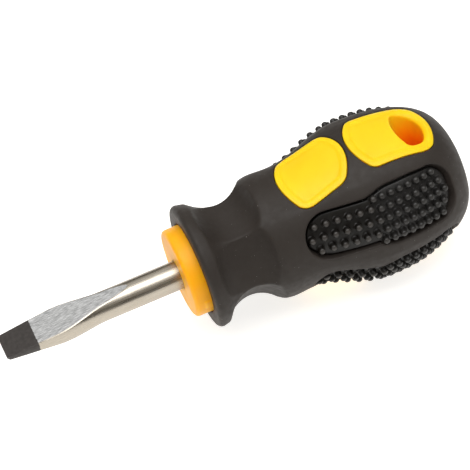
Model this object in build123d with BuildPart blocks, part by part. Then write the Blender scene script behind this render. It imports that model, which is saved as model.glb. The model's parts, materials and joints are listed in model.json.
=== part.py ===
from build123d import *
import math
import os

# Stubby slotted screwdriver with a two-material handle, in millimetres.
# The origin is the centre of the tip's end face. +X runs along the tool, from the tip to the butt.
# +Z runs through the hang hole and is square to the flats of the blade.
# Angles around the handle are measured about X, from +Z towards -Y.

# ---- Blade: driving dimensions ----
SHANK_DIAMETER = 6.0
BLADE_REACH = 38.0  # tip to the front face of the handle
TANG_LENGTH = 36.0  # hidden in the handle
TIP_WIDTH = 6.4
TIP_THICKNESS = 1.0
TIP_CORNER = 0.5
FLARE_WIDTH = 7.9
FLARE_X = 11.5
FLARE_ROOT_X = 21.5
GROUND_LENGTH = 27.5  # tip to the point where the ground flats run out on the shank
WING_SPAN = 9.0
WING_LENGTH = 8.0
WING_THICKNESS = 2.0
WING_INSET = 6.0  # wings to the buried end of the blade
TANG_CHAMFER = 0.8

# ---- Handle: driving dimensions, lengths from the front face of the collar ----
HANDLE_LENGTH = 61.4
COLLAR_RADIUS = 9.3
COLLAR_ROUND = 0.9
COLLAR_TAB_WIDTH = 2.6
COLLAR_TAB_HEIGHT = 0.35
COLLAR_TAB_LENGTH = 1.6
FLANGE_SETBACK = 3.4
FLANGE_RADIUS = 13.1
FLANGE_ROUND = 1.0
CREASE_SETBACK = 6.3
CREASE_RADIUS = 12.7
WAIST_SETBACK = 11.0
WAIST_RADIUS = 10.6
SHOULDER_SETBACK = 20.4
SHOULDER_RADIUS = 13.3
SADDLE_SETBACK = 24.5
SADDLE_RADIUS = 13.1
BELLY_SETBACK = 40.2
BELLY_RADIUS = 16.6
BUTT_FLAT_RADIUS = 5.0
DOME_FULLNESS = 2.25  # 2 would be an ellipse, and more is squarer
FACET_DEPTH = 0.45  # how far the middle of a facet lies inside the ridges, at the belly
SLEEVE_WALL = 3.6
CORE_END_ROUND = 2.0

# ---- Scoops in the neck: flat across the handle, hollow along it ----
SCOOP_RADIUS = 7.0
SCOOP_DEPTH = 1.65  # below the ribs, at the waist
SCOOP_SETBACK = 12.2

# ---- Windows: yellow pads that fill openings in the sleeve, above and below ----
WINDOW_GAP = 0.8  # strip of sleeve between the two windows
WINDOW_BORDER = 1.2
WINDOW_DISH = 0.35
FRONT_WINDOW_LENGTH = 14.7
FRONT_WINDOW_FRONT_WIDTH = 14.9
FRONT_WINDOW_REAR_WIDTH = 14.0
FRONT_WINDOW_BOW = 2.7
FRONT_WINDOW_CORNER = 1.4
FRONT_WINDOW_REAR_CORNER = 0.9
REAR_WINDOW_SETBACK = 39.3
REAR_WINDOW_TO_BUTT = 4.2
REAR_WINDOW_FRONT_WIDTH = 14.9
REAR_WINDOW_REAR_WIDTH = 13.4
REAR_WINDOW_BOW = 2.9
REAR_WINDOW_REAR_BOW = 2.5
REAR_WINDOW_CORNER = 0.9
REAR_WINDOW_REAR_CORNER = 1.6

# ---- Hang hole ----
HANG_HOLE_DIAMETER = 5.6
HANG_HOLE_TO_BUTT = 8.8
HANG_MOUTH_WIDTH = 8.0
HANG_MOUTH_DEPTH = 3.0
HANG_MOUTH_FLARE = 12.0  # degrees

# ---- Studded pads, seated in recesses of the sleeve between the windows ----
PAD_RECESS = 0.7  # sleeve surface to pad surface
PAD_THICKNESS = 0.9
PAD_FRONT_SETBACK = 24.4
PAD_TO_BUTT = 5.2
PAD_WIDE_WIDTH = 12.2
PAD_THROAT_STEP = 0.9  # how much narrower the front part is, on each side
PAD_WIDE_LENGTH = 18.0
PAD_WIDE_CORNER = 4.8
LARGEST_CORNER_SHARE = 0.49  # of the wide part's width: its rear end is never quite a half circle
PAD_THROAT_ROUND = 2.0
STUD_DIAMETER = 1.2
STUD_HEIGHT = 1.6  # above the pad surface, to the top of its dome
STUD_MARGIN = 1.2  # edge of the pad to the nearest stud axis
STUD_PITCH = 2.15
STUD_ROW_SPACING = 2.3
STUD_ROOT = 0.5  # how far a stud reaches into the pad

# ---- Derived sizes and places along X ----
PAD_NARROW_WIDTH = PAD_WIDE_WIDTH - 2 * PAD_THROAT_STEP
HANDLE_X = BLADE_REACH
BUTT_X = HANDLE_X + HANDLE_LENGTH
FLANGE_X = HANDLE_X + FLANGE_SETBACK
CREASE_X = HANDLE_X + CREASE_SETBACK
WAIST_X = HANDLE_X + WAIST_SETBACK
SHOULDER_X = HANDLE_X + SHOULDER_SETBACK
SADDLE_X = HANDLE_X + SADDLE_SETBACK
BELLY_X = HANDLE_X + BELLY_SETBACK
REAR_WINDOW_X = HANDLE_X + REAR_WINDOW_SETBACK
HANG_X = BUTT_X - HANG_HOLE_TO_BUTT
TANG_X = BLADE_REACH + TANG_LENGTH
SHANK_RADIUS = SHANK_DIAMETER / 2
REACH = 2 * BELLY_RADIUS  # long enough to run right through the handle from its axis
SWELL_STEPS = 8  # loft sections from the waist to the belly
DOME_STEPS = 9  # and from the belly to the butt

# The six ridges stand between two window sectors, above and below, and four pad sectors.
WINDOW_SECTOR = 68.0
PAD_STEP = 62.0  # from the windows on top to an upper pad, and from there to the lower pad
SIDE_RIDGE = 1.5 * PAD_STEP
PAD_ANGLES = {
    "left_upper": PAD_STEP,
    "left_lower": 2 * PAD_STEP,
    "right_lower": 360 - 2 * PAD_STEP,
    "right_upper": 360 - PAD_STEP,
}
LEFT_RIDGES = [WINDOW_SECTOR / 2, SIDE_RIDGE, 2 * SIDE_RIDGE - WINDOW_SECTOR / 2]
RIDGE_ANGLES = LEFT_RIDGES + [360 - angle for angle in reversed(LEFT_RIDGES)]
SCOOP_ANGLES = [0, 180] + list(PAD_ANGLES.values())
ON_PLACE = (Align.CENTER, Align.CENTER, Align.MIN)


def ease(start, end, share):
    """Value that leaves start and reaches end with no slope at either."""
    return start + (end - start) * share * share * (3 - 2 * share)


def ridge_radius(x):
    """Radius of the sleeve on its ridges: level at the waist, shoulder, saddle and belly, then a dome."""
    stations = [
        (WAIST_X, WAIST_RADIUS),
        (SHOULDER_X, SHOULDER_RADIUS),
        (SADDLE_X, SADDLE_RADIUS),
        (BELLY_X, BELLY_RADIUS),
    ]
    for (x_start, r_start), (x_end, r_end) in zip(stations, stations[1:]):
        if x <= x_end:
            return ease(r_start, r_end, (x - x_start) / (x_end - x_start))
    share = min(1.0, (x - BELLY_X) / (BUTT_X - BELLY_X))
    dome = (1 - share**DOME_FULLNESS) ** (1 / DOME_FULLNESS)
    return BUTT_FLAT_RADIUS + (BELLY_RADIUS - BUTT_FLAT_RADIUS) * dome


def facet_radius(x):
    """Radius of the sleeve in the middle of a facet, a little less than on the ridges."""
    radius = ridge_radius(x)
    return radius - FACET_DEPTH * (radius / BELLY_RADIUS) ** 2


def around(radius, angle):
    """Point (Y, Z) at a radius and an angle about X."""
    return -radius * math.sin(math.radians(angle)), radius * math.cos(math.radians(angle))


def outward(angle, x=0, radius=0):
    """Plane at a place on or off the axis whose normal points out of the handle, with its x along X."""
    side, up = around(1, angle)
    return Plane(origin=(x, radius * side, radius * up), x_dir=(1, 0, 0), z_dir=(0, side, up))


def body_stations():
    """Places of the loft's sections, closer together where the dome turns down to the butt."""
    swell = [WAIST_X + (BELLY_X - WAIST_X) * step / SWELL_STEPS for step in range(SWELL_STEPS)]
    turns = [math.pi / 2 * step / DOME_STEPS for step in range(DOME_STEPS + 1)]
    return swell + [BELLY_X + (BUTT_X - BELLY_X) * math.sin(turn) for turn in turns]


def body_section(x, inset):
    """Six arcs from ridge to ridge."""
    with BuildSketch(Plane.YZ.offset(x)) as section:
        with BuildLine():
            for angle, following in zip(RIDGE_ANGLES, RIDGE_ANGLES[1:] + [360 + RIDGE_ANGLES[0]]):
                ThreePointArc(
                    around(ridge_radius(x) - inset, angle),
                    around(facet_radius(x) - inset, (angle + following) / 2),
                    around(ridge_radius(x) - inset, following),
                )
        make_face()
    return section.sketch


def body_solid(inset):
    """The handle's outside from the waist to the butt, drawn in by a distance."""
    with BuildPart() as body:
        loft([body_section(x, inset) for x in body_stations()])
    return body.part


def window_outline(front_x, rear_x, front_width, rear_width, front_bow, rear_bow):
    """Closed outline in the XY plane: bowed front and rear ends between two straight sides."""
    front_corner = front_x + front_bow
    rear_corner = rear_x - rear_bow
    with BuildLine() as outline:
        ThreePointArc((front_corner, front_width / 2), (front_x, 0), (front_corner, -front_width / 2))
        Line((front_corner, -front_width / 2), (rear_corner, -rear_width / 2))
        ThreePointArc((rear_corner, -rear_width / 2), (rear_x, 0), (rear_corner, rear_width / 2))
        Line((rear_corner, rear_width / 2), (front_corner, front_width / 2))
    return outline.line


def front_window():
    """Face of the front window, seen from above."""
    rear_x = REAR_WINDOW_X - WINDOW_GAP
    front_x = rear_x - FRONT_WINDOW_LENGTH
    with BuildSketch() as window:
        add(window_outline(front_x, rear_x, FRONT_WINDOW_FRONT_WIDTH, FRONT_WINDOW_REAR_WIDTH,
                           FRONT_WINDOW_BOW, FRONT_WINDOW_BOW))
        make_face()
        fillet(window.vertices().group_by(Axis.X)[0], FRONT_WINDOW_CORNER)
        fillet(window.vertices().group_by(Axis.X)[-1], FRONT_WINDOW_REAR_CORNER)
    return window.sketch


def rear_window():
    """Face of the rear window, seen from above."""
    rear_x = BUTT_X - REAR_WINDOW_TO_BUTT
    with BuildSketch() as window:
        add(window_outline(REAR_WINDOW_X, rear_x, REAR_WINDOW_FRONT_WIDTH, REAR_WINDOW_REAR_WIDTH,
                           REAR_WINDOW_BOW, REAR_WINDOW_REAR_BOW))
        make_face()
        fillet(window.vertices().group_by(Axis.X)[0], REAR_WINDOW_CORNER)
        fillet(window.vertices().group_by(Axis.X)[-1], REAR_WINDOW_REAR_CORNER)
    return window.sketch


def pad_outline():
    """Shoe-sole outline of a studded pad, with x along the handle: narrow in front, wide behind."""
    front_x = HANDLE_X + PAD_FRONT_SETBACK
    rear_x = BUTT_X - PAD_TO_BUTT
    narrow_length = rear_x - PAD_WIDE_LENGTH / 2 - front_x
    wide_corner = min(PAD_WIDE_CORNER, LARGEST_CORNER_SHARE * PAD_WIDE_WIDTH)
    with BuildSketch() as outline:
        with Locations((front_x + narrow_length / 2, 0)):
            SlotOverall(narrow_length, PAD_NARROW_WIDTH)
        with Locations((rear_x - PAD_WIDE_LENGTH / 2, 0)):
            RectangleRounded(PAD_WIDE_LENGTH, PAD_WIDE_WIDTH, wide_corner)
        fillet(outline.vertices().group_by(Axis.X)[1], PAD_THROAT_ROUND)
    return outline.sketch


def pad_block(angle):
    """Block with the pad's outline, from the axis out through the sleeve."""
    with BuildPart() as block:
        with BuildSketch(outward(angle)):
            add(pad_outline())
        extrude(amount=REACH)
    return block.part


def pad_recess(angle):
    """What the sleeve loses under and over one pad."""
    with BuildPart() as recess:
        add(pad_block(angle))
        add(recess_body, mode=Mode.SUBTRACT)
    return recess.part


def stud_places(angle):
    """Places of the studs' roots: staggered rows over the pad, each stud square to the handle's surface."""
    limit = offset(pad_outline(), -STUD_MARGIN, mode=Mode.PRIVATE).face()
    rows = int(PAD_WIDE_WIDTH / 2 / STUD_ROW_SPACING)
    front_x = HANDLE_X + PAD_FRONT_SETBACK
    columns = int((BUTT_X - front_x) / STUD_PITCH)
    places = []
    for row in range(-rows, rows + 1):
        for column in range(columns):
            x = front_x + STUD_MARGIN + (column + (row % 2) / 2) * STUD_PITCH
            across = row * STUD_ROW_SPACING
            if limit.is_inside((x, across, 0)):
                surface = facet_radius(x) - PAD_RECESS
                turn = math.degrees(math.asin(across / surface))
                places.append(outward(angle + turn, x, surface - STUD_ROOT).location)
    return places


# ---- Solids that several pieces are cut from ----
outer_body = body_solid(0)
dish_body = body_solid(WINDOW_DISH)
pad_body = body_solid(PAD_RECESS)
recess_body = body_solid(PAD_RECESS + PAD_THICKNESS)

with BuildPart() as window_blocks:
    add([front_window(), rear_window()])
    extrude(amount=REACH, both=True)

with BuildPart() as window_dishes:
    with BuildSketch():
        for window in (front_window(), rear_window()):
            offset(window, -WINDOW_BORDER, mode=Mode.ADD)
    extrude(amount=REACH, both=True)
    add(dish_body, mode=Mode.SUBTRACT)

with BuildPart() as core_blank:
    with BuildSketch(Plane.XZ):
        with BuildLine():
            core_end_x = BUTT_X - SLEEVE_WALL
            neck_radius = WAIST_RADIUS - SLEEVE_WALL
            core_xs = [x for x in body_stations() if x < core_end_x - CORE_END_ROUND] + [core_end_x]
            swell = Spline([(x, ridge_radius(x) - SLEEVE_WALL) for x in core_xs])
            Polyline(swell @ 1, (core_end_x, 0), (FLANGE_X, 0), (FLANGE_X, neck_radius), swell @ 0)
        make_face()
    revolve(axis=Axis.X)
    fillet(core_blank.edges().group_by(Axis.X)[-1], CORE_END_ROUND)

# ---- Blade ----
with BuildPart() as blade:
    with BuildSketch(Plane.XY):
        with BuildLine():
            flare = Spline(
                [(TIP_CORNER, TIP_WIDTH / 2), (FLARE_X, FLARE_WIDTH / 2), (FLARE_ROOT_X, SHANK_RADIUS)],
                tangents=[(1, (FLARE_WIDTH - TIP_WIDTH) / FLARE_X), (1, 0)],
            )
            Polyline(
                flare @ 1,
                (TANG_X - TANG_CHAMFER, SHANK_RADIUS),
                (TANG_X, SHANK_RADIUS - TANG_CHAMFER),
                (TANG_X, 0),
                (0, 0),
                (0, TIP_WIDTH / 2 - TIP_CORNER),
                flare @ 0,
            )
        make_face()
    revolve(axis=Axis.X)
    with BuildSketch(Plane.XZ):
        with BuildLine():
            Polyline(
                (0, TIP_THICKNESS / 2),
                (GROUND_LENGTH, SHANK_RADIUS),
                (GROUND_LENGTH, FLARE_WIDTH),
                (0, FLARE_WIDTH),
                close=True,
            )
        make_face()
        mirror(about=Plane.XZ)
    extrude(amount=FLARE_WIDTH, both=True, mode=Mode.SUBTRACT)
    with Locations((TANG_X - WING_INSET - WING_LENGTH / 2, 0, 0)):
        Box(WING_LENGTH, WING_SPAN, WING_THICKNESS)
blade.part.label = "blade"

# ---- Handle core ----
hang_mouth_z = facet_radius(HANG_X) - HANG_MOUTH_DEPTH
with BuildPart() as handle_core:
    add(window_blocks.part)
    add(outer_body, mode=Mode.INTERSECT)
    add(window_dishes.part, mode=Mode.SUBTRACT)
    add(core_blank.part)
    with BuildSketch(Plane.YZ.offset(HANDLE_X)):
        Circle(COLLAR_RADIUS)
    extrude(amount=FLANGE_SETBACK)
    fillet(handle_core.edges().group_by(Axis.X)[0], COLLAR_ROUND)
    with Locations((FLANGE_X - COLLAR_TAB_LENGTH / 2, 0, -COLLAR_TAB_WIDTH / 2)):
        Box(COLLAR_TAB_LENGTH, 2 * (COLLAR_RADIUS + COLLAR_TAB_HEIGHT), COLLAR_TAB_WIDTH)
    with Locations((HANG_X, 0, 0)):
        Cylinder(HANG_HOLE_DIAMETER / 2, 2 * REACH, mode=Mode.SUBTRACT)
    for side in (1, -1):
        with BuildSketch(Plane((HANG_X, 0, side * hang_mouth_z), x_dir=(0, 1, 0), z_dir=(0, 0, side))):
            SlotOverall(HANG_MOUTH_WIDTH, HANG_HOLE_DIAMETER)
        extrude(amount=BELLY_RADIUS, taper=-HANG_MOUTH_FLARE, mode=Mode.SUBTRACT)
    add(blade.part, mode=Mode.SUBTRACT)
handle_core.part.label = "handle_core"


# ---- Grip sleeve ----
with BuildPart() as sleeve_front:
    with BuildSketch(Plane.XZ):
        with BuildLine():
            trumpet = Bezier(
                (CREASE_X, CREASE_RADIUS),
                ((CREASE_X + WAIST_X) / 2, WAIST_RADIUS),
                (WAIST_X, WAIST_RADIUS),
            )
            Polyline(trumpet @ 1, (WAIST_X, 0), (FLANGE_X, 0), (FLANGE_X, FLANGE_RADIUS), trumpet @ 0)
        make_face()
    revolve(axis=Axis.X)
    fillet(sleeve_front.edges().group_by(Axis.X)[0], FLANGE_ROUND)

with BuildPart() as scoop:
    with Locations((HANDLE_X + SCOOP_SETBACK, 0, WAIST_RADIUS - SCOOP_DEPTH + SCOOP_RADIUS)):
        Cylinder(SCOOP_RADIUS, 2 * WAIST_RADIUS, rotation=(90, 0, 0))

with BuildPart() as grip_sleeve:
    add(outer_body)
    add(sleeve_front.part)
    for angle in SCOOP_ANGLES:
        add(scoop.part, rotation=(angle, 0, 0), mode=Mode.SUBTRACT)
    add(core_blank.part, mode=Mode.SUBTRACT)
    add(window_blocks.part, mode=Mode.SUBTRACT)
    for angle in PAD_ANGLES.values():
        add(pad_recess(angle), mode=Mode.SUBTRACT)
grip_sleeve.part.label = "grip_sleeve"

os.makedirs("parts", exist_ok=True)
export_step(blade.part, "parts/blade.step")
export_step(handle_core.part, "parts/handle_core.step")
export_step(grip_sleeve.part, "parts/grip_sleeve.step")

# ---- Studded pads ----
with BuildPart() as stud:
    Cylinder(STUD_DIAMETER / 2, STUD_ROOT + STUD_HEIGHT - STUD_DIAMETER / 2, align=ON_PLACE)
    with Locations((0, 0, STUD_ROOT + STUD_HEIGHT - STUD_DIAMETER / 2)):
        Sphere(STUD_DIAMETER / 2)

for name, angle in PAD_ANGLES.items():
    with BuildPart() as grip_pad:
        add(pad_block(angle))
        add(pad_body, mode=Mode.INTERSECT)
        add(recess_body, mode=Mode.SUBTRACT)
        with Locations(*stud_places(angle)):
            add(stud.part)
        add(window_blocks.part, mode=Mode.SUBTRACT)
    grip_pad.part.label = f"grip_pad_{name}"
    export_step(grip_pad.part, f"parts/grip_pad_{name}.step")
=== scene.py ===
"""Looks of a stubby slotted screwdriver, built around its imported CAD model.

Shapes are worked out in millimetres in the CAD frame (+X from the tip to the butt, +Z through the hang
hole) and scaled to metres when a mesh is made. Angles round the handle are measured about X, from +Z
towards -Y. The handle is symmetric about the XZ plane, so one half of each moulding is drawn and mirrored.
"""

import json
import math

import bmesh
import bpy
import numpy as np
from mathutils import Matrix, Vector
from mathutils.geometry import delaunay_2d_cdt
from mathutils.kdtree import KDTree


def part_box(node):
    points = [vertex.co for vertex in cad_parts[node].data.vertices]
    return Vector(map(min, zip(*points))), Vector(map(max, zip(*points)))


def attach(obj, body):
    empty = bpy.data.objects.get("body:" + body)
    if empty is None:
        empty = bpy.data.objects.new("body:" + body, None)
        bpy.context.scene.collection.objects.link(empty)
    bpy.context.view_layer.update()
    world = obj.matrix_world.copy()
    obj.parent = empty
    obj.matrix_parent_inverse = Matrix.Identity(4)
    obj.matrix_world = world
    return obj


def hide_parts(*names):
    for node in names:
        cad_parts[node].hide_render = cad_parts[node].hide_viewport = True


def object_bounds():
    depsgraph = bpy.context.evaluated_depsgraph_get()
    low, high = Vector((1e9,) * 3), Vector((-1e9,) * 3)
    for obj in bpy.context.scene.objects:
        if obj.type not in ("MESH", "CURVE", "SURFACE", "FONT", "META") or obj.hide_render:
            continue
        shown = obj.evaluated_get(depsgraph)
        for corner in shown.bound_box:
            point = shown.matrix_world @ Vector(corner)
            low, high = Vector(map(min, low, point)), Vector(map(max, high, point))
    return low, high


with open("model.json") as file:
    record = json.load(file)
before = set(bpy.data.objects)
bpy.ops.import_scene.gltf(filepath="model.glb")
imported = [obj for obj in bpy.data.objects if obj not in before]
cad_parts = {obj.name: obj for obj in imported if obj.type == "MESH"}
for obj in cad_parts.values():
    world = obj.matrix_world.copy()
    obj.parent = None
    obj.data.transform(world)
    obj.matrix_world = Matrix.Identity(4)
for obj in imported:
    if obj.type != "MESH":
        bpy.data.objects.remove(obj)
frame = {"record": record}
cad_low, cad_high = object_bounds()

MM = 0.001


def cad_box(node):
    """Lowest and highest corner of a CAD node, in millimetres."""
    low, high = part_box(node)
    return low / MM, high / MM


# ---- Places read from the frame ----
sleeve_low, sleeve_high = cad_box("grip_sleeve")
core_low, _ = cad_box("handle_core")
_, blade_high = cad_box("blade")
pad_low, pad_high = cad_box("grip_pad_left_upper")
hang_hole = next(m for m in frame["record"]["mounts"] if m["name"] == "hang_hole")

HANDLE_X = core_low.x
FLANGE_X = sleeve_low.x
BUTT_X = sleeve_high.x
BELLY_RADIUS = sleeve_high.y
PAD_FRONT_X = pad_low.x
PAD_REAR_X = pad_high.x
HANG_X = hang_hole["pos_m"][0] / MM
HANG_RADIUS = hang_hole["dims"]["r_mm"]

# ---- Shape of the handle, as in the CAD model ----
FLANGE_RADIUS = 13.1
FLANGE_ROUND = 1.1
CREASE_X = HANDLE_X + 6.3
CREASE_RADIUS = 12.7
WAIST_X = HANDLE_X + 11.0
WAIST_RADIUS = 10.6
SHOULDER_X = HANDLE_X + 20.4
SHOULDER_RADIUS = 13.3
SADDLE_X = HANDLE_X + 24.5
SADDLE_RADIUS = 13.1
BELLY_X = HANDLE_X + 40.2
BUTT_FLAT_RADIUS = 5.0
BUTT_CROWN = 0.3
DOME_FULLNESS = 2.35
FACET_DEPTH = 0.45
FACET_BLEND = 0.25
SCOOP_X = HANDLE_X + 12.2
SCOOP_RADIUS = 7.0
SCOOP_FLOOR = 8.95
SCOOP_BLEND = 0.14
LEAST_SCOOP_COSINE = 0.2  # a scoop's floor isn't followed further round than this
PAD_STEP_ANGLE = math.radians(62)
PAD_ANGLES = {"upper": PAD_STEP_ANGLE, "lower": 2 * PAD_STEP_ANGLE}
WINDOW_RIDGE = math.radians(34)
SIDE_RIDGE = 1.5 * PAD_STEP_ANGLE
RIDGES = np.array([-WINDOW_RIDGE, WINDOW_RIDGE, SIDE_RIDGE, 2 * SIDE_RIDGE - WINDOW_RIDGE,
                   2 * (math.pi - SIDE_RIDGE) + WINDOW_RIDGE])
SCOOP_ANGLES = [0, PAD_STEP_ANGLE, 2 * PAD_STEP_ANGLE, math.pi]

# ---- Front hole of the sleeve, and the collar that stands in it ----
COLLAR_RADIUS = 9.3
COLLAR_ROUND = 0.9
COLLAR_GAP = 0.12
COLLAR_SEAT = 1.2
FACE_LIP = 0.25
COLLAR_SIDES = 360
COLLAR_HOLE_DEPTH = 3.0
COLLAR_HOLE_LIP = 0.25
SHANK_GAP = 0.03
TAB_WIDTH = 2.6
TAB_HEIGHT = 0.3
TAB_ROUND = 0.35

# ---- Windows, studded pads and hang hole, seen square on ----
FRONT_WINDOW = {"front": BELLY_X - 16.3, "rear": BELLY_X - 1.7, "front_width": 14.9, "rear_width": 14.0,
                "front_bow": 2.7, "rear_bow": 2.7, "front_corner": 1.4, "rear_corner": 0.9}
REAR_WINDOW = {"front": BELLY_X - 0.9, "rear": BUTT_X - 4.2, "front_width": 14.9, "rear_width": 13.4,
               "front_bow": 2.9, "rear_bow": 2.5, "front_corner": 0.9, "rear_corner": 1.6}
WINDOW_DISH = 0.32
WINDOW_DEPTH = 0.03
WINDOW_LIP = 0.2
DISH_START = 1.0
DISH_END = 1.8
OPENING_LIP = 0.3
OPENING_GAP = 0.12
WALL_DEPTH = 1.4
WALL_DRAFT = 0.05
PAD_NARROW_WIDTH = 10.4
PAD_WIDE_WIDTH = 12.2
PAD_WIDE_LENGTH = 18.0
PAD_WIDE_CORNER = 4.8
PAD_THROAT_ROUND = 2.0
PAD_RECESS = 0.7
PAD_SINK = 0.65
PAD_SINK_LENGTH = 11.0
STUD_RADIUS = 0.74
STUD_HEIGHT = 1.48
STUD_MARGIN = 1.2
NARROW_STUDS = {"rows": 1, "spacing": 2.7, "pitch": 2.25}
WIDE_STUDS = {"rows": 2, "spacing": 2.25, "pitch": 1.95}
STUD_TAPER = 0.06
STUD_FOOT = 0.2
STUD_ROOT = 0.2
HEAD_DOME = 0.75
PAD_LIP = 0.3
PAD_EDGE = 0.25
PAD_GROOVE = 0.42
PAD_GROOVE_DEPTH = 0.8
PAD_SEAT = 0.02
PAD_WALL_DEPTH = 2.4
MOUTH = {"front": HANG_X - 3.1, "rear": HANG_X + 3.2, "front_width": 10.2, "rear_width": 9.4,
         "front_bow": 1.5, "rear_bow": 1.8, "front_corner": 0.8, "rear_corner": 1.2}
MOUTH_LIP_FRONT = 0.25
MOUTH_LIP_REAR = 0.8
MOUTH_LIP_CHANGE = (0.25, 0.75)  # stretch of the half outline, from the rear, over which its lip changes
FUNNEL_DEPTH = 9.0
# painted shade: the collar is tinted orange all over, and the hang hole turns a deeper orange the further
# down it goes
COLLAR_SHADE = 0.45  # how orange the collar is, where 0 is a window and 1 is deep in the hang hole
HOLE_SHADE_DEPTH = 9.0

# ---- Blade ----
SHANK_RADIUS = blade_high.z
TIP_WIDTH = 6.4
TIP_THICKNESS = 1.0
TIP_CORNER = 0.5
FLARE_WIDTH = 7.9
FLARE_X = 11.5
FLARE_ROOT_X = 21.5
GROUND_LENGTH = 27.5
BLACK_LENGTH = 6.8
OXIDE_WAVER = 0.08
OXIDE_FADE = 0.05
OXIDE_ROUGHNESS = 0.45
OXIDE_METALLIC = 0.2
EDGE_ROUND = 0.12
EDGE_BEVEL = 0.14
PLATED, GROUND = 0, 1  # the blade's two materials
BLADE_SHARP_ANGLE = 25

# ---- Mesh density ----
PROFILE_STEP = 0.1
PROFILE_ROUND_POINTS = 13
TRUMPET_POINTS = 30
BODY_POINTS = 200
DOME_POINTS = 240
CROWN_POINTS = 40
PROFILE_SOFTENING = 6
GRID_STEP = 0.45
RING_STEP = 0.25
WINDOW_STEP = 0.3
PAD_STEP = 0.4
ROW_SHARE = 0.87  # row spacing of a grid of nearly equal triangles, as a share of its step
CLEAR = 0.2  # no grid point stands nearer to a ring
SHEET_EPSILON = 1e-6
TRACE_POINTS = 361
HALVINGS = 40
LIP_STEPS = 6
ARC_POINTS = 7
COLLAR_EDGE_POINTS = 13
COLLAR_FACE_STEPS = 8
COLLAR_WALL_STEPS = 24
MOUTH_STEPS = 7
FUNNEL_STEPS = 16
BORE_STEPS = 10
BLADE_STEP = 0.25
FLAT_POINTS = 17
SIDE_POINTS = 49
SPREAD = 14.0  # millimetres of the flattened sheet for each radian round the handle
QUARTER = math.pi / 2
WELD = 0.004
STUD_SIDES = 16
STUD_FOOT_POINTS = 4
STUD_HEAD_POINTS = 6

# ---- Floor, light and camera, in metres and degrees ----
FLOOR_REACH = 3.0
FLOOR_GLOW = 0.8
FLOOR_GLOW_COLOUR = (1, 0.99, 0.97, 1)
ROOM = [  # height of a direction (0 level, 1 straight up) and the room's light there
    (0.0, (0.06, 0.055, 0.05)),
    (0.25, (0.10, 0.09, 0.08)),
    (0.6, (0.36, 0.34, 0.30)),
    (1.0, (0.8, 0.8, 0.8)),
]
SOFTBOXES = [  # name, azimuth, elevation, distance, size, power in watts
    ("overhead", -13, 82, 0.9, (1.2, 0.6), 8),
    ("far_side", 167, 42, 1.2, (1.4, 0.6), 0.9),
    ("right_side", 35, 48, 1.0, (0.35, 0.35), 0.2),
]
CAMERA_AZIMUTH = -12.6
CAMERA_ELEVATION = 47.3
CAMERA_ROLL = 13.45
CAMERA_DISTANCE = 0.5
CAMERA_LENS = 190.5
CAMERA_CLIP = 0.01
LOOK_AT = Vector((0.0517, 0.0022, 0.0019))

# ---- Colours, as linear red, green and blue; a pair is mixed in soft clouds or streaks ----
SLEEVE_COLOURS = (0.0215, 0.0165, 0.0133), (0.0275, 0.022, 0.0182)
DUST_COLOUR = (0.16, 0.15, 0.14)
# pad floor: the front part darker as painted shade, the rear part lighter as a painted reflection on its
# gloss
PAD_FLOOR_SHADE_AND_REFLECTION_COLOURS = (0.005, 0.004, 0.003), (0.017, 0.016, 0.015)  # front part, rear part
# stud heads: lighter than the floor as a painted highlight, stronger in the front part
STUD_HEAD_HIGHLIGHT_COLOURS = (0.044, 0.039, 0.035), (0.022, 0.0205, 0.019)  # front part, rear part
CORE_COLOURS = (0.94, 0.565, 0.006), (0.95, 0.605, 0.008)
# painted shade, reached deep in the hang hole and mixed in part onto the collar
SHADED_CORE_COLOUR = (1.0, 0.22, 0.0)
PLATED_COLOURS = (0.38, 0.345, 0.29), (0.44, 0.40, 0.34)
GROUND_COLOURS = (0.32, 0.325, 0.33), (0.74, 0.745, 0.75)
OXIDE_COLOURS = (0.027, 0.0225, 0.020), (0.040, 0.034, 0.031)
FLOOR_COLOURS = (0.58, 0.57, 0.55), (0.60, 0.59, 0.57)
MIDDLE = (0.3, 0.7)  # the part of a noise's range that nearly all of it lies in
NARROW_MIDDLE = (0.35, 0.65)


# ======== Meshes ========
def make_piece(name, points, faces, kinds=None, shades=None, sharp_angle=None):
    """Mesh object from points in millimetres. kinds holds each face's material, and shades a value for each
    point that its material reads."""
    mesh = bpy.data.meshes.new(name)
    mesh.from_pydata([tuple(p) for p in np.asarray(points, float) * MM], [], [tuple(f) for f in faces])
    if kinds is not None:
        mesh.polygons.foreach_set("material_index", np.asarray(kinds, np.int32))
    if shades is not None:
        mesh.attributes.new("shade", "FLOAT", "POINT").data.foreach_set("value", shades)
    shape = bmesh.new()
    shape.from_mesh(mesh)
    bmesh.ops.remove_doubles(shape, verts=shape.verts, dist=WELD * MM)
    bmesh.ops.dissolve_degenerate(shape, edges=shape.edges, dist=WELD * MM / 4)
    shape.to_mesh(mesh)
    shape.free()
    for face in mesh.polygons:
        face.use_smooth = True
    if sharp_angle is not None:
        mesh.set_sharp_from_angle(angle=math.radians(sharp_angle))
    piece = bpy.data.objects.new(name, mesh)
    bpy.context.scene.collection.objects.link(piece)
    return piece


def reflected(points, faces, y_sign, z_sign):
    """Points and faces mirrored across the XZ plane, the XY plane, both or neither."""
    points = np.asarray(points) * np.array([1, y_sign, z_sign])
    if y_sign * z_sign < 0:
        faces = [tuple(reversed(face)) for face in faces]
    return points, faces


def both_sides(points, faces):
    """A half and its mirror image across the XZ plane."""
    return joined((points, faces), reflected(points, faces, -1, 1))


def smooth_step(value, start, end):
    """0 before start, 1 after end, easing in between."""
    share = np.clip((value - start) / (end - start), 0, 1)
    return share * share * (3 - 2 * share)


def soft_min(a, b, blend):
    """The smaller of two, rounded over where they cross."""
    share = np.clip(0.5 + 0.5 * (b - a) / blend, 0, 1)
    return b * (1 - share) + a * share - blend * share * (1 - share)


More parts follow.
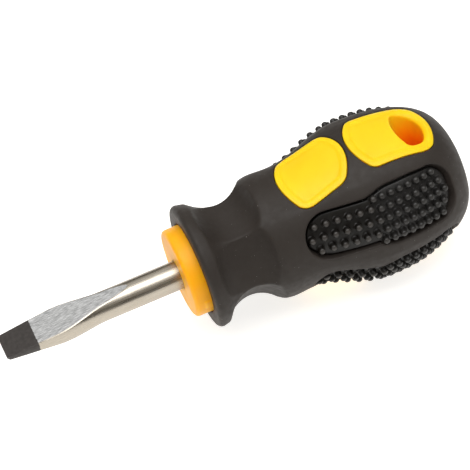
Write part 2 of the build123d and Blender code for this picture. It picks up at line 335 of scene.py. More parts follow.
# ======== The handle's surface ========
def ridge_radius(x):
    """Radius on the ridges: level at the waist, shoulder, saddle and belly."""
    stations = [(WAIST_X, WAIST_RADIUS), (SHOULDER_X, SHOULDER_RADIUS),
                (SADDLE_X, SADDLE_RADIUS), (BELLY_X, BELLY_RADIUS)]
    radius = np.full_like(x, WAIST_RADIUS)
    for (x_start, r_start), (x_end, r_end) in zip(stations, stations[1:]):
        behind = x >= x_start
        radius[behind] = (r_start + (r_end - r_start) * smooth_step(x, x_start, x_end))[behind]
    return radius


def handle_profile():
    """Points (x, r) of the sleeve's outside, from the hole in its front face to the middle of the butt."""
    turn = np.linspace(0, QUARTER, PROFILE_ROUND_POINTS)
    hole = COLLAR_RADIUS + COLLAR_GAP
    inner = np.array([(FLANGE_X + COLLAR_SEAT, hole)])
    lip = np.column_stack([FLANGE_X + FACE_LIP * (1 - np.sin(turn)), hole + FACE_LIP * (1 - np.cos(turn))])
    rim = np.column_stack([FLANGE_X + FLANGE_ROUND * (1 - np.cos(turn)),
                           FLANGE_RADIUS - FLANGE_ROUND * (1 - np.sin(turn))])
    share = np.linspace(0, 1, TRUMPET_POINTS)
    trumpet = np.column_stack([CREASE_X + (WAIST_X - CREASE_X) * share,
                               WAIST_RADIUS + (CREASE_RADIUS - WAIST_RADIUS) * (1 - share) ** 2])
    body_x = np.linspace(WAIST_X, BELLY_X, BODY_POINTS)
    body = np.column_stack([body_x, ridge_radius(body_x)])
    turn = np.linspace(0, QUARTER, DOME_POINTS)
    squarer = 2 / DOME_FULLNESS
    dome = np.column_stack([BELLY_X + (BUTT_X - BUTT_CROWN - BELLY_X) * np.sin(turn) ** squarer,
                            BUTT_FLAT_RADIUS + (BELLY_RADIUS - BUTT_FLAT_RADIUS) * np.cos(turn) ** squarer])
    crown_r = np.linspace(BUTT_FLAT_RADIUS, 0, CROWN_POINTS)
    crown = np.column_stack([BUTT_X - BUTT_CROWN * (crown_r / BUTT_FLAT_RADIUS) ** 2, crown_r])
    points = np.concatenate([inner, lip, rim, trumpet, body[1:], dome[1:], crown[1:]])
    length = np.concatenate([[0], np.cumsum(np.hypot(*np.diff(points, axis=0).T))])
    along = np.arange(0, length[-1], PROFILE_STEP)
    along = np.append(along, length[-1])
    even = np.column_stack([np.interp(along, length, points[:, 0]), np.interp(along, length, points[:, 1])])
    for _ in range(PROFILE_SOFTENING):
        even[1:-1] = (even[:-2] + 2 * even[1:-1] + even[2:]) / 4
    slope = np.gradient(even, axis=0)
    slope /= np.linalg.norm(slope, axis=1)[:, None]
    return along, even, np.column_stack([-slope[:, 1], slope[:, 0]])


PROFILE_S, PROFILE_XR, PROFILE_NORMAL = handle_profile()
PAST_WAIST = PROFILE_XR[:, 0] > WAIST_X


def place_along(x):
    """Distance along the profile of a place behind the waist."""
    return np.interp(x, PROFILE_XR[PAST_WAIST, 0], PROFILE_S[PAST_WAIST])


def facet_share(angle):
    """1 in the middle of a facet, 0 on a ridge."""
    folded = np.abs((angle + math.pi) % (2 * math.pi) - math.pi)
    facet = np.clip(np.searchsorted(RIDGES, folded), 1, len(RIDGES) - 1)
    start, end = RIDGES[facet - 1], RIDGES[facet]
    share = np.abs(2 * folded - start - end) / (end - start)
    rounded = np.cos(np.clip(share, 0, 1) * QUARTER) ** 2
    return FACET_BLEND * rounded + (1 - FACET_BLEND) * (1 - np.clip(share, 0, 1) ** 2)


def surface_radius(x, radius, angle):
    """Radius of the sleeve after its facets and its scoops."""
    fade = smooth_step(x, CREASE_X, SHOULDER_X)
    radius = radius - FACET_DEPTH * fade * (radius / BELLY_RADIUS) ** 2 * facet_share(angle)
    drop = np.sqrt(np.clip(SCOOP_RADIUS ** 2 - (x - SCOOP_X) ** 2, 0, None))
    floor = np.where(drop > 0, SCOOP_FLOOR + SCOOP_RADIUS - drop, 2 * BELLY_RADIUS)
    for scoop_angle in SCOOP_ANGLES:
        cut = floor / np.clip(np.cos(angle - scoop_angle), LEAST_SCOOP_COSINE, 1)
        radius = soft_min(radius, cut, SCOOP_BLEND)
    return radius


def surface(s, angle, depth):
    """Points (x, y, z) at a distance along the profile, an angle and a depth below the surface."""
    x = np.interp(s, PROFILE_S, PROFILE_XR[:, 0])
    ridge = np.interp(s, PROFILE_S, PROFILE_XR[:, 1])
    normal_x = np.interp(s, PROFILE_S, PROFILE_NORMAL[:, 0])
    normal_r = np.interp(s, PROFILE_S, PROFILE_NORMAL[:, 1])
    radius = surface_radius(x, ridge, angle) - normal_r * depth
    return np.column_stack([x - normal_x * depth, -radius * np.sin(angle), radius * np.cos(angle)])


def surface_angle(x, across):
    """Angle from the middle of a sector at which the surface stands a distance across from it."""
    ridge = np.interp(place_along(x), PROFILE_S, PROFILE_XR[:, 1])
    return np.arcsin(np.clip(across / (ridge - FACET_DEPTH / 2), -1, 1))


# ======== Outlines, seen square on, as points (x, across) ========
def both(a, b, corner):
    """Distance to where two shapes overlap, with its corners rounded."""
    outside = np.hypot(np.clip(a + corner, 0, None), np.clip(b + corner, 0, None))
    return np.minimum(np.maximum(a, b) + corner, 0) + outside - corner


def either(a, b, throat):
    """Distance to two shapes joined, with the inside corners between them rounded."""
    filled = np.hypot(np.clip(throat - a, 0, None), np.clip(throat - b, 0, None))
    return np.maximum(np.minimum(a, b), throat) - filled


def bowed_end(x, across, end_x, bow, width, facing):
    """Distance outside a bowed end with its middle at end_x; facing is 1 for a rear end, -1 for a front."""
    radius = (width ** 2 / 4 + bow ** 2) / (2 * bow)
    return np.hypot(x - (end_x - facing * radius), across) - radius


def opening_distance(window):
    """Distance outside the outline of a window or of the hang hole's mouth."""
    def distance(x, across):
        share = (x - window["front"]) / (window["rear"] - window["front"])
        half = (window["front_width"] + (window["rear_width"] - window["front_width"]) * share) / 2
        side = np.abs(across) - half
        front = bowed_end(x, across, window["front"], window["front_bow"], window["front_width"], -1)
        rear = bowed_end(x, across, window["rear"], window["rear_bow"], window["rear_width"], 1)
        front_part = both(side, front, window["front_corner"])
        rear_part = both(side, rear, window["rear_corner"])
        return np.maximum(front_part, rear_part)
    return distance


def box_distance(x, across, centre, length, width, corner):
    """Distance outside a rounded rectangle centred on the axis."""
    return both(np.abs(x - centre) - length / 2, np.abs(across) - width / 2, corner)


def pad_distance(x, across):
    """Distance outside a studded pad: narrow in front, wide behind."""
    wide_centre = PAD_REAR_X - PAD_WIDE_LENGTH / 2
    wide = box_distance(x, across, wide_centre, PAD_WIDE_LENGTH, PAD_WIDE_WIDTH, PAD_WIDE_CORNER)
    half = PAD_NARROW_WIDTH / 2
    along = x - np.clip(x, PAD_FRONT_X + half, wide_centre)
    narrow = np.hypot(along, across) - half
    return either(narrow, wide, PAD_THROAT_ROUND)


def traced(distance, centre):
    """Half outline, on the positive side, from its rearmost point round to its foremost, in even steps."""
    turn = np.linspace(0, math.pi, TRACE_POINTS)
    near = np.zeros_like(turn)
    far = np.full_like(turn, 2 * BELLY_RADIUS)
    for _ in range(HALVINGS):
        middle = (near + far) / 2
        outside = distance(centre + middle * np.cos(turn), middle * np.sin(turn)) > 0
        far = np.where(outside, middle, far)
        near = np.where(outside, near, middle)
    outline = np.column_stack([centre + near * np.cos(turn), near * np.sin(turn)])
    outline[[0, -1], 1] = 0
    length = np.concatenate([[0], np.cumsum(np.hypot(*np.diff(outline, axis=0).T))])
    along = np.linspace(0, length[-1], int(length[-1] / RING_STEP) + 1)
    return np.column_stack([np.interp(along, length, outline[:, 0]), np.interp(along, length, outline[:, 1])])


# ======== The flattened sheet: (distance along the profile, angle * SPREAD) ========
def flattened(outline):
    """A half outline laid on the sheet, with the middle of its sector at zero."""
    return np.column_stack([place_along(outline[:, 0]), surface_angle(outline[:, 0], outline[:, 1]) * SPREAD])


def moved_out(line, distance):
    """A half outline moved outwards by a distance, which may differ from point to point."""
    mirrored = np.array([1, -1])
    before = np.vstack([line[1] * mirrored, line[:-1]])
    after = np.vstack([line[1:], line[-2] * mirrored])
    along = after - before
    along /= np.linalg.norm(along, axis=1)[:, None]
    return line + np.column_stack([along[:, 1], -along[:, 0]]) * np.reshape(distance, (-1, 1))


def inside(points, outline):
    """Whether each point lies inside the outline, closed along the line between its ends."""
    x, y = points[:, 0][:, None], points[:, 1][:, None]
    x_start, y_start = outline[:, 0][None], outline[:, 1][None]
    x_end, y_end = np.roll(outline[:, 0], -1)[None], np.roll(outline[:, 1], -1)[None]
    spans = (y_start > y) != (y_end > y)
    rise = np.where(y_end == y_start, 1, y_end - y_start)
    crosses = spans & (x < x_start + (y - y_start) * (x_end - x_start) / rise)
    return crosses.sum(axis=1) % 2 == 1


def distance_to(points, outline):
    """Distance of each point from the nearest stretch of an open outline."""
    start = outline[:-1][None]
    along = np.diff(outline, axis=0)[None]
    offset = points[:, None] - start
    share = np.clip((offset * along).sum(2) / (along ** 2).sum(2), 0, 1)
    return np.linalg.norm(offset - share[..., None] * along, axis=2).min(axis=1)


def lip_rings(line, radius, wall_depth, side, gap=0.0):
    """Rings (line, depth) down a rounded edge of the outline and its wall. side is 1 for the sheet outside
    the outline and -1 for the sheet inside it; gap moves the wall away from the outline."""
    rings = []
    for turn in np.linspace(0, QUARTER, LIP_STEPS):
        out = side * (gap + radius * (1 - math.sin(turn)))
        rings.append((moved_out(line, out), np.full(len(line), radius * (1 - math.cos(turn)))))
    rings.append((moved_out(line, side * (gap - WALL_DRAFT)), np.full(len(line), float(wall_depth))))
    return rings


def whole(line):
    """A whole outline from its half."""
    return np.vstack([line, line[-2:0:-1] * np.array([1, -1])])


def closed_ring(line):
    """A whole outline from its half, ending on the point that it starts from."""
    return np.vstack([whole(line), line[:1]])


def triangulated(rings, low, high, step, depth_of):
    """Points, depths and triangles of a stretch of the sheet that holds the rings, each a (line, depth)."""
    points, depths, edges = [], [], []
    for line, depth in rings:
        first = len(points)
        points += line.tolist()
        depths += depth.tolist()
        edges += [(first + i, first + i + 1) for i in range(len(line) - 1)]
    tree = KDTree(len(points))
    for i, point in enumerate(points):
        tree.insert((point[0], point[1], 0), i)
    tree.balance()
    columns = max(2, round((high[0] - low[0]) / step) + 1)
    rows = max(2, round((high[1] - low[1]) / (step * ROW_SHARE)) + 1)
    spread_u = np.linspace(low[0], high[0], columns)
    half = (spread_u[1] - spread_u[0]) / 2
    for row, v in enumerate(np.linspace(low[1], high[1], rows)):
        row_u = spread_u if row % 2 == 0 else np.concatenate([[low[0]], spread_u[:-1] + half, [high[0]]])
        grid = np.column_stack([row_u, np.full(len(row_u), v)])
        free = [p for p in grid if tree.find((p[0], p[1], 0))[2] > CLEAR]
        if free:
            depths += depth_of(np.array(free)).tolist()
            points += [tuple(p) for p in free]
    result = delaunay_2d_cdt([Vector(p) for p in points], edges, [], 0, SHEET_EPSILON)
    sheet = np.array([tuple(v) for v in result[0]])
    kept_depth = np.array([depths[ids[0]] if ids else np.nan for ids in result[3]])
    lost = np.isnan(kept_depth)
    if lost.any():
        kept_depth[lost] = depth_of(sheet[lost])
    return sheet, kept_depth, np.array(result[2])[:, ::-1]


def placed(sheet, depth, angle=0):
    """Points in space of points on the sheet whose sector is centred on an angle."""
    return surface(sheet[:, 0], sheet[:, 1] / SPREAD + angle, depth)


def joined(*parts):
    """One (points, faces) from several."""
    points, faces = [], []
    for part_points, part_faces in parts:
        start = sum(len(p) for p in points)
        points.append(np.asarray(part_points))
        faces += [[start + i for i in face] for face in part_faces]
    return np.vstack(points), faces


def bridged(rows, closed=False):
    """Points and faces of a strip through rows of equally many points."""
    count = len(rows[0])
    wrap = count if closed else count - 1
    faces = []
    for row in range(len(rows) - 1):
        for i in range(wrap):
            here, following = row * count + i, row * count + (i + 1) % count
            faces.append((here, following, following + count, here + count))
    return np.vstack(rows), faces


def lathe(profile, sides, bulge):
    """Points and faces of a profile (x, r) turned about X; bulge gives what its radius gains on the way."""
    turn = np.linspace(0, 2 * math.pi, sides, endpoint=False)
    rows = []
    for x, r in profile:
        radius = r + bulge(x, r, turn)
        ring = [np.full(sides, float(x)), -radius * np.sin(turn), radius * np.cos(turn)]
        rows.append(np.column_stack(ring))
    return bridged(rows, closed=True)


def arc(centre, radius, start, end, count=ARC_POINTS):
    """Points (x, r) along an arc; its angles, in degrees, run from +x towards +r."""
    turn = np.radians(np.linspace(start, end, count))
    return [(centre[0] + radius * math.cos(t), centre[1] + radius * math.sin(t)) for t in turn]


# ======== Sleeve ========
def window_line(window):
    """Half outline of a window on the sheet."""
    return flattened(traced(opening_distance(window), (window["front"] + window["rear"]) / 2))


FRONT_LINE = window_line(FRONT_WINDOW)
REAR_LINE = window_line(REAR_WINDOW)
PAD_LINE = flattened(traced(pad_distance, PAD_REAR_X - PAD_WIDE_LENGTH / 2))
HALF_TURN = math.pi * SPREAD


def underneath(points):
    """Points of the sheet moved from the top of the handle to the same places underneath."""
    return np.column_stack([points[:, 0], HALF_TURN - points[:, 1]])


def grip_sleeve():
    """Rubber sleeve with its openings for the windows and the studded pads."""
    rings = []
    for line in (FRONT_LINE, REAR_LINE):
        for ring, depth in lip_rings(line, OPENING_LIP, WALL_DEPTH, 1):
            rings += [(ring, depth), (underneath(ring), depth)]
    for angle in PAD_ANGLES.values():
        for line, depth in lip_rings(PAD_LINE, PAD_LIP, PAD_WALL_DEPTH, 1):
            ring = closed_ring(line) + np.array([0, angle * SPREAD])
            rings.append((ring, np.full(len(ring), depth[0])))
    sheet, depth, faces = triangulated(rings, (0, 0), (PROFILE_S[-1], HALF_TURN), GRID_STEP,
                                       lambda points: np.zeros(len(points)))
    centres = sheet[faces].mean(axis=1)
    hole = np.zeros(len(faces), bool)
    for line in (FRONT_LINE, REAR_LINE):
        opening = moved_out(line, -WALL_DRAFT)
        hole |= inside(centres, opening) | inside(underneath(centres), opening)
    for angle in PAD_ANGLES.values():
        hole |= inside(centres - np.array([0, angle * SPREAD]), whole(moved_out(PAD_LINE, -WALL_DRAFT)))
    return make_piece("sleeve_moulding", *both_sides(placed(sheet, depth), faces[~hole]))


# ======== Core: window pads, hang hole and collar ========
def dish_depth(line):
    """How deep a window pad lies at points on the sheet: a level border round a shallow dish."""
    def depth_of(points):
        from_edge = distance_to(points, line)
        return WINDOW_DEPTH + WINDOW_DISH * smooth_step(from_edge, DISH_START, DISH_END)
    return depth_of


def window_pad(line, mouth=None):
    """Points and faces of half a window pad, and the mouth's rim if there is a hang hole in it."""
    depth_of = dish_depth(line)
    rings = [(ring, depth + WINDOW_DEPTH) for ring, depth in
             lip_rings(line, WINDOW_LIP, WALL_DEPTH, -1, OPENING_GAP)]
    rim = None
    if mouth is not None:
        share = smooth_step(np.linspace(0, 1, len(mouth)), *MOUTH_LIP_CHANGE)
        lip = MOUTH_LIP_REAR + (MOUTH_LIP_FRONT - MOUTH_LIP_REAR) * share
        for turn in np.linspace(0, QUARTER, MOUTH_STEPS):
            ring = moved_out(mouth, lip * (1 - math.sin(turn)))
            depth = depth_of(ring) + lip * (1 - math.cos(turn))
            rings.append((ring, depth))
        rim = placed(ring, depth)
    low = line.min(axis=0)
    sheet, depth, faces = triangulated(rings, (low[0], 0), line.max(axis=0), WINDOW_STEP, depth_of)
    centres = sheet[faces].mean(axis=1)
    keep = inside(centres, moved_out(line, WALL_DRAFT - OPENING_GAP))
    if mouth is not None:
        keep &= ~inside(centres, mouth)
    return (placed(sheet, depth), faces[keep]), rim


def hang_hole_wall(rim):
    """Half the hang hole, from the mouth's rim down to the middle of the handle."""
    polar = np.arctan2(-rim[:, 1], rim[:, 0] - HANG_X)
    bore = np.column_stack([HANG_X + HANG_RADIUS * np.cos(polar), -HANG_RADIUS * np.sin(polar)])
    floor = rim[:, 2].min() - FUNNEL_DEPTH
    rows = [rim]
    for share in np.linspace(0, 1, FUNNEL_STEPS)[1:]:
        plan = rim[:, :2] + (bore - rim[:, :2]) * math.sin(share * QUARTER)
        rows.append(np.column_stack([plan, rim[:, 2] + (floor - rim[:, 2]) * share]))
    for z in np.linspace(floor, 0, BORE_STEPS)[1:]:
        rows.append(np.column_stack([bore, np.full(len(rim), z)]))
    return bridged(rows[::-1])


def collar_bulge(x, r, turn):
    """Height of the collar's two side tabs."""
    if r < COLLAR_RADIUS - WELD:
        return np.zeros_like(turn)
    along = smooth_step(x, FLANGE_X - COLLAR_SEAT - TAB_ROUND, FLANGE_X - COLLAR_SEAT)
    height = np.zeros_like(turn)
    for side in (-1, 1):
        from_side = COLLAR_RADIUS * np.cos(turn) + TAB_WIDTH / 2
        facing = np.sin(turn) * side > 0
        across = 1 - smooth_step(np.abs(from_side), TAB_WIDTH / 2 - TAB_ROUND, TAB_WIDTH / 2)
        height += TAB_HEIGHT * along * across * facing
    return height


def collar():
    """Points and faces of the collar disc that the shank comes out of."""
    hole = SHANK_RADIUS + SHANK_GAP
    front = HANDLE_X
    rear = FLANGE_X + COLLAR_SEAT
    profile = [(front + COLLAR_HOLE_DEPTH, hole)]
    profile += arc((front + COLLAR_HOLE_LIP, hole + COLLAR_HOLE_LIP), COLLAR_HOLE_LIP, 270, 180)
    flat_radius = COLLAR_RADIUS - COLLAR_ROUND
    profile += [(front, r) for r in np.linspace(hole + COLLAR_HOLE_LIP, flat_radius, COLLAR_FACE_STEPS)[1:-1]]
    profile += arc((front + COLLAR_ROUND, flat_radius), COLLAR_ROUND, 180, 90, COLLAR_EDGE_POINTS)
    profile += [(x, COLLAR_RADIUS) for x in np.linspace(front + COLLAR_ROUND, rear, COLLAR_WALL_STEPS)[1:]]
    return lathe(profile, COLLAR_SIDES, collar_bulge)


def handle_core():
    """Yellow core: window pads, hang hole and collar."""
    front, _ = window_pad(FRONT_LINE)
    mouth = flattened(traced(opening_distance(MOUTH), HANG_X))
    rear, rim = window_pad(REAR_LINE, mouth)
    wall = hang_hole_wall(rim)
    disc = collar()
    top = both_sides(*joined(front, rear, wall))
    # painted shade: the hang hole's wall turns orange with depth, and the collar is tinted orange all over
    wall_depth = wall[0][:, 2].max() - wall[0][:, 2]
    flat_shades = np.zeros(len(front[0]) + len(rear[0]))
    half = np.concatenate([flat_shades, smooth_step(wall_depth, 0, HOLE_SHADE_DEPTH)])
    shades = np.concatenate([np.tile(half, 4), np.full(len(disc[0]), COLLAR_SHADE)])
    return make_piece("core_moulding", *joined(top, reflected(*top, 1, -1), disc), shades=shades)


# ======== Studded pads ========
def stud_rows(pattern, start, end):
    """Places (x, across) of staggered rows of studs between two places along the pad."""
    places = []
    for row in range(-pattern["rows"], pattern["rows"] + 1):
        shift = pattern["pitch"] / 2 * (row % 2)
        for x in np.arange(start + shift, end, pattern["pitch"]):
            places.append((x, row * pattern["spacing"]))
    return places


def stud_places():
    """Places (distance along the profile, angle from the pad's middle) of a pad's studs."""
    wide_x = PAD_REAR_X - PAD_WIDE_LENGTH
    places = stud_rows(NARROW_STUDS, PAD_FRONT_X + STUD_MARGIN, wide_x)
    places += stud_rows(WIDE_STUDS, wide_x + WIDE_STUDS["pitch"] / 2, PAD_REAR_X)
    x, across = np.array(places).T
    fits = pad_distance(x, across) < STUD_RADIUS - STUD_MARGIN
    return np.column_stack([place_along(x), surface_angle(x, across)])[fits]


def stud_profile():
    """Points (height, radius) of a stud: flared root, tapering pin, domed head."""
    tip = STUD_RADIUS - STUD_TAPER
    shoulder = STUD_HEIGHT - tip * HEAD_DOME
    profile = [(-STUD_ROOT, STUD_RADIUS + STUD_FOOT)]
    for turn in np.linspace(0, QUARTER, STUD_FOOT_POINTS):
        profile.append((STUD_FOOT * (1 - math.cos(turn)), STUD_RADIUS + STUD_FOOT * (1 - math.sin(turn))))
    for turn in np.linspace(0, QUARTER, STUD_HEAD_POINTS):
        profile.append((shoulder + tip * HEAD_DOME * math.sin(turn), tip * math.cos(turn)))
    return np.array(profile)


def pad_depth(points):
    """How deep a pad's floor lies at points on the sheet: deepest at the pad's two ends."""
    x = np.interp(points[:, 0], PROFILE_S, PROFILE_XR[:, 0])
    front = 1 - smooth_step(x, PAD_FRONT_X, PAD_FRONT_X + PAD_SINK_LENGTH)
    rear = smooth_step(x, PAD_REAR_X - PAD_SINK_LENGTH, PAD_REAR_X)
    return PAD_RECESS + PAD_SINK * (front + rear)


def pad_moulding(pad_angle):
    """Points and faces of one pad, with its studs, and how far up a stud each point is."""
    seat = moved_out(PAD_LINE, PAD_SEAT)
    groove = lip_rings(PAD_LINE, PAD_EDGE, PAD_GROOVE_DEPTH, -1, PAD_GROOVE)
    rings = []
    for line, depth in groove + [(seat, groove[-1][1])]:
        ring = closed_ring(line)
        rings.append((ring, pad_depth(ring) + depth[0]))
    low = (PAD_LINE[:, 0].min(), -PAD_LINE[:, 1].max())
    sheet, depth, faces = triangulated(rings, low, PAD_LINE.max(axis=0), PAD_STEP, pad_depth)
    centres = sheet[faces].mean(axis=1)
    faces = faces[inside(centres, whole(seat))]
    parts = [(placed(sheet, depth, pad_angle), faces)]
    height = [np.zeros(len(sheet))]
    profile = stud_profile()
    turn = np.linspace(0, 2 * math.pi, STUD_SIDES, endpoint=False)
    for s, angle in stud_places():
        place = np.array([s])
        foot = surface(place, np.array([angle + pad_angle]), pad_depth(np.array([[s, 0]])))[0]
        up = np.array([0, foot[1], foot[2]]) / np.hypot(foot[1], foot[2])
        side = np.cross(up, (1, 0, 0))
        side /= np.linalg.norm(side)
        ahead = np.cross(up, side)
        rows = [foot + up * h + r * (np.outer(np.cos(turn), side) + np.outer(np.sin(turn), ahead))
                for h, r in profile]
        parts.append(bridged(rows, closed=True))
        height.append(np.repeat(np.clip(profile[:, 0] / STUD_HEIGHT, 0, 1), STUD_SIDES))
    points, faces = joined(*parts)
    return points, faces, np.concatenate(height)


# ======== Blade ========
def blade_half_width(x):
    """Half the blade's width, seen square on."""
    width = np.interp(x, [0, FLARE_X], [TIP_WIDTH / 2, FLARE_WIDTH / 2])
    width = width - TIP_CORNER * np.clip(1 - x / TIP_CORNER, 0, 1)
    flare = SHANK_RADIUS + (FLARE_WIDTH / 2 - SHANK_RADIUS) * (1 - smooth_step(x, FLARE_X, FLARE_ROOT_X))
    return np.where(x < FLARE_X, width, flare)


def blade_mesh():
    """Points and faces of the blade, with the material of each face."""
    tip = [0, EDGE_ROUND / 2, EDGE_ROUND]
    flats = np.arange(TIP_CORNER, GROUND_LENGTH, BLADE_STEP)
    places = np.unique(np.concatenate([tip, flats, [GROUND_LENGTH, HANDLE_X + COLLAR_HOLE_DEPTH]]))
    rows = []
    for x in places:
        radius = float(blade_half_width(np.array([x]))[0])
        ground = TIP_THICKNESS / 2 + (SHANK_RADIUS - TIP_THICKNESS / 2) * min(1.0, x / GROUND_LENGTH)
        inset = EDGE_ROUND - math.sqrt(max(0.0, EDGE_ROUND ** 2 - max(0.0, EDGE_ROUND - x) ** 2))
        radius -= inset
        ground = min(ground - inset, radius)
        corner = math.asin(min(1.0, ground / radius))
        reach = radius * math.cos(corner)
        bevel = min(EDGE_BEVEL, reach / 4)
        across = np.linspace(reach - bevel, bevel - reach, FLAT_POINTS)
        top = np.column_stack([across, np.full(FLAT_POINTS, ground)])
        swing = corner - bevel / radius
        sweep = np.linspace(math.pi - swing, math.pi + swing, SIDE_POINTS)
        left = np.column_stack([radius * np.cos(sweep), radius * np.sin(sweep)])
        section = np.vstack([top, left, -top, -left])
        rows.append(np.column_stack([np.full(len(section), x), section]))
    points, faces = bridged(rows, closed=True)
    count = len(rows[0])
    half = count // 2
    kinds = [PLATED if (i % count) % half >= FLAT_POINTS - 1 else GROUND for i in range(len(faces))]
    faces += [tuple(range(count - 1, -1, -1)), tuple(range(len(points) - count, len(points)))]
    kinds += [GROUND, PLATED]
    return points, faces, kinds


# ======== Materials ========
class Look:
    """A Principled material with short helpers for its nodes. Positions are in millimetres."""

    def __init__(self, name):
        self.material = bpy.data.materials.new(name)
        self.material.use_nodes = True
        self.nodes = self.material.node_tree.nodes
        self.links = self.material.node_tree.links
        self.shader = self.nodes["Principled BSDF"]
        self.place = self.nodes.new("ShaderNodeTexCoord").outputs["Object"]

    def set(self, **values):
        for name, value in values.items():
            self.shader.inputs[name.replace("_", " ")].default_value = value

    def feed(self, name, socket):
        self.links.new(socket, self.shader.inputs[name])

    def noise(self, size, detail, stretch=(1, 1, 1)):
        """Noise whose blots are about size millimetres across, times stretch along each axis."""
        mapping = self.nodes.new("ShaderNodeMapping")
        mapping.inputs["Scale"].default_value = [1 / (size * MM * s) for s in stretch]
        self.links.new(self.place, mapping.inputs["Vector"])
        texture = self.nodes.new("ShaderNodeTexNoise")
        texture.inputs["Scale"].default_value = 1
        texture.inputs["Detail"].default_value = detail
        self.links.new(mapping.outputs["Vector"], texture.inputs["Vector"])
        return texture.outputs["Fac"]

    def ranged(self, socket, low, high, out_low=0.0, out_high=1.0):
        """The socket's low to high spread over out_low to out_high, and held there."""
        node = self.nodes.new("ShaderNodeMapRange")
        for name, value in (("From Min", low), ("From Max", high), ("To Min", out_low), ("To Max", out_high)):
            node.inputs[name].default_value = value
        self.links.new(socket, node.inputs["Value"])
        return node.outputs["Result"]

    def math(self, operation, a, b):
        node = self.nodes.new("ShaderNodeMath")
        node.operation = operation
        for socket, value in zip(node.inputs, (a, b)):
            if isinstance(value, (int, float)):
                socket.default_value = value
            else:
                self.links.new(value, socket)
        return node.outputs["Value"]

    def mixed(self, share, a, b):
        """Colour a where share is 0 and b where it is 1."""
        node = self.nodes.new("ShaderNodeMix")
        node.data_type = "RGBA"
        self.links.new(share, node.inputs["Factor"])
        for socket, value in ((node.inputs[6], a), (node.inputs[7], b)):
            if isinstance(value, tuple):
                socket.default_value = (*value, 1)
            else:
                self.links.new(value, socket)
        return node.outputs[2]

    def along(self, axis):
        """Position along an axis, in millimetres."""
        node = self.nodes.new("ShaderNodeSeparateXYZ")
        self.links.new(self.place, node.inputs["Vector"])
        return self.math("MULTIPLY", node.outputs[axis], 1 / MM)

    def attribute(self, name):
        node = self.nodes.new("ShaderNodeAttribute")
        node.attribute_name = name
        return node.outputs["Fac"]

    def bump(self, height, distance):
        """Relief from a height of 0 to 1, distance millimetres tall."""
        node = self.nodes.new("ShaderNodeBump")
        node.inputs["Distance"].default_value = distance * MM
        self.links.new(height, node.inputs["Height"])
        self.feed("Normal", node.outputs["Normal"])


def sleeve_rubber():
    """Dark warm grey soft-touch rubber: eggshell grain, faint clouding, a little dust."""
    look = Look("sleeve_rubber")
    clouds = look.ranged(look.noise(9, 3), *MIDDLE)
    colour = look.mixed(clouds, *SLEEVE_COLOURS)
    dust = look.ranged(look.noise(0.35, 1), 0.76, 0.82)
    look.feed("Base Color", look.mixed(dust, colour, DUST_COLOUR))
    look.feed("Roughness", look.ranged(look.noise(1.2, 3), *MIDDLE, 0.52, 0.66))
    look.set(Specular_IOR_Level=0.28)
    look.bump(look.noise(0.22, 2), 0.012)
    return look.material


def pad_rubber():
    """Blacker, shinier rubber of the studded pads; painted highlight on the stud heads, painted shade on the
    front floor, painted reflection on the rear floor.
    """
    look = Look("pad_rubber")
    throat = PAD_REAR_X - PAD_WIDE_LENGTH
    # painted light changes along the pad: painted shade on the front floor, a painted reflection lightening
    # the rear floor
    wide = look.ranged(look.along("X"), throat - STUD_RADIUS, throat + 4 * STUD_RADIUS)
    floor = look.mixed(wide, *PAD_FLOOR_SHADE_AND_REFLECTION_COLOURS)
    head = look.mixed(wide, *STUD_HEAD_HIGHLIGHT_COLOURS)
    # painted highlight: the stud heads turn lighter than the floor towards the top of each stud
    head_highlight = look.ranged(look.attribute("shade"), 0.7, 1.0)
    look.feed("Base Color", look.mixed(head_highlight, floor, head))
    look.feed("Roughness", look.ranged(look.noise(1.0, 3), *MIDDLE, 0.34, 0.46))
    look.set(Specular_IOR_Level=0.35)
    look.bump(look.noise(0.2, 2), 0.006)
    return look.material


def core_plastic():
    """Semi-gloss yellow plastic that light soaks into, with painted shade: orange on the collar and deepening
    orange down the hang hole.
    """
    look = Look("core_plastic")
    clouds = look.ranged(look.noise(7, 2), *MIDDLE)
    yellow = look.mixed(clouds, *CORE_COLOURS)
    # painted shade: orange on the collar and deepening down the hang hole, mixed in by the shade attribute
    shaded = look.attribute("shade")
    look.feed("Base Color", look.mixed(shaded, yellow, SHADED_CORE_COLOUR))
    look.feed("Roughness", look.ranged(look.noise(2.0, 3), *MIDDLE, 0.38, 0.5))
    look.set(Specular_IOR_Level=0.25, Subsurface_Weight=0.4, Subsurface_Scale=2.5 * MM)
    look.set(Subsurface_Radius=(1.0, 0.4, 0.04))
    look.bump(look.noise(0.8, 2), 0.004)
    return look.material


def blade_steel(name, ground):
    """Plated steel, or ground steel with its lines along the blade; both end in black oxide at the tip."""
    look = Look(name)
    lines = look.noise(0.11, 3, stretch=(45, 1, 1))
    scratches = look.ranged(lines, *NARROW_MIDDLE)
    waver = look.ranged(look.noise(0.5, 2), *MIDDLE, -OXIDE_WAVER, OXIDE_WAVER)
    place = look.math("ADD", look.along("X"), waver)
    black = look.ranged(place, BLACK_LENGTH + OXIDE_FADE, BLACK_LENGTH - OXIDE_FADE)
    bare = look.mixed(scratches, *(GROUND_COLOURS if ground else PLATED_COLOURS))
    oxide = look.mixed(look.ranged(look.noise(0.8, 3), *NARROW_MIDDLE), *OXIDE_COLOURS)
    look.feed("Base Color", look.mixed(black, bare, oxide))
    finest, roughest = (0.36, 0.48) if ground else (0.24, 0.34)
    steel_roughness = look.ranged(lines, *MIDDLE, finest, roughest)
    spread = look.math("SUBTRACT", OXIDE_ROUGHNESS, steel_roughness)
    look.feed("Roughness", look.math("ADD", steel_roughness, look.math("MULTIPLY", black, spread)))
    look.feed("Metallic", look.ranged(black, 0, 1, 1.0, OXIDE_METALLIC))
    look.bump(lines, 0.006 if ground else 0.0015)
    return look.material


# ======== Pieces ========
def finished(piece, node, slot, *materials):
    """Gives a piece its materials and its place in the frame."""
    for material in materials:
        piece.data.materials.append(material)
    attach(piece, "root")
    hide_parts(node)


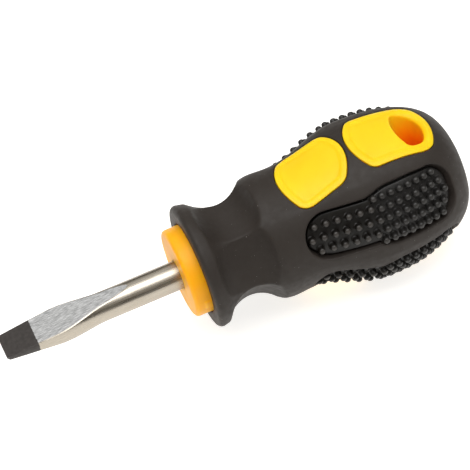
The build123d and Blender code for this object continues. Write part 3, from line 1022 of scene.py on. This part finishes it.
finished(grip_sleeve(), "grip_sleeve", "sleeve_rubber", sleeve_rubber())
finished(handle_core(), "handle_core", "core_plastic", core_plastic())
shank_steel = blade_steel("plated_steel", ground=False)
flat_steel = blade_steel("ground_steel", ground=True)
forging = make_piece("blade_forging", *blade_mesh(), sharp_angle=BLADE_SHARP_ANGLE)
finished(forging, "blade", "blade_steel", shank_steel, flat_steel)
studded = pad_rubber()
for level, pad_angle in PAD_ANGLES.items():
    points, faces, shades = pad_moulding(pad_angle)
    for side, y_sign in (("left", 1), ("right", -1)):
        piece = make_piece(f"studded_pad_{side}_{level}", *reflected(points, faces, y_sign, 1), shades=shades)
        finished(piece, f"grip_pad_{side}_{level}", "pad_rubber", studded)


# ======== Floor, light and camera ========
def pale_floor():
    """Pale floor under the handle, glowing a little so that it comes out nearly white."""
    mesh = bpy.data.meshes.new("floor")
    reach = FLOOR_REACH
    corners = [(-reach, -reach), (reach, -reach), (reach, reach), (-reach, reach)]
    mesh.from_pydata([(x, y, cad_low.z) for x, y in corners], [], [(0, 1, 2, 3)])
    floor = bpy.data.objects.new("floor", mesh)
    bpy.context.scene.collection.objects.link(floor)
    look = Look("floor")
    look.feed("Base Color", look.mixed(look.noise(60, 2), *FLOOR_COLOURS))
    look.set(Roughness=0.8, Specular_IOR_Level=0.2)
    look.set(Emission_Color=FLOOR_GLOW_COLOUR, Emission_Strength=FLOOR_GLOW)
    mesh.materials.append(look.material)


def softbox(name, azimuth, elevation, distance, size, power):
    """Area light aimed at the middle of the object. Azimuths are as for the camera."""
    light = bpy.data.lights.new(name, "AREA")
    light.shape = "RECTANGLE"
    light.size, light.size_y = size
    light.energy = power
    rig = bpy.data.objects.new(name, light)
    bpy.context.scene.collection.objects.link(rig)
    away = direction(azimuth, elevation)
    rig.location = LOOK_AT + away * distance
    rig.rotation_euler = away.to_track_quat("Z", "Y").to_euler()


def direction(azimuth, elevation):
    """Direction towards a place round the object; azimuth 0 is along -Y and 90 along +X, in degrees."""
    azimuth, elevation = math.radians(azimuth), math.radians(elevation)
    return Vector((math.sin(azimuth) * math.cos(elevation), -math.cos(azimuth) * math.cos(elevation),
                   math.sin(elevation)))


def camera():
    """Camera above the near side and a little in front, rolled so that the tip points down to the left."""
    lens = bpy.data.cameras.new("camera")
    lens.lens = CAMERA_LENS
    lens.clip_start = CAMERA_CLIP
    rig = bpy.data.objects.new("camera", lens)
    bpy.context.scene.collection.objects.link(rig)
    back = direction(CAMERA_AZIMUTH, CAMERA_ELEVATION)
    level = Vector((0, 0, 1)).cross(back).normalized()
    right = Matrix.Rotation(math.radians(-CAMERA_ROLL), 3, back) @ level
    up = back.cross(right)
    turn = Matrix((right, up, back)).transposed().to_4x4()
    rig.matrix_world = Matrix.Translation(LOOK_AT + back * CAMERA_DISTANCE) @ turn
    bpy.context.scene.camera = rig


def studio():
    """Soft white light from above, a dim room round it, and true colours."""
    world = bpy.data.worlds.new("room")
    world.use_nodes = True
    nodes, links = world.node_tree.nodes, world.node_tree.links
    heading = nodes.new("ShaderNodeTexCoord")
    height = nodes.new("ShaderNodeSeparateXYZ")
    ramp = nodes.new("ShaderNodeValToRGB")
    links.new(heading.outputs["Generated"], height.inputs["Vector"])
    links.new(height.outputs["Z"], ramp.inputs["Fac"])
    links.new(ramp.outputs["Color"], nodes["Background"].inputs["Color"])
    stops = ramp.color_ramp.elements
    for place, colour in ROOM:
        stop = stops.new(place)
        stop.color = (*colour, 1)
    stops.remove(stops[0])
    stops.remove(stops[-1])
    bpy.context.scene.world = world
    bpy.context.scene.view_settings.view_transform = "Standard"
    for box in SOFTBOXES:
        softbox(*box)


pale_floor()
camera()
studio()
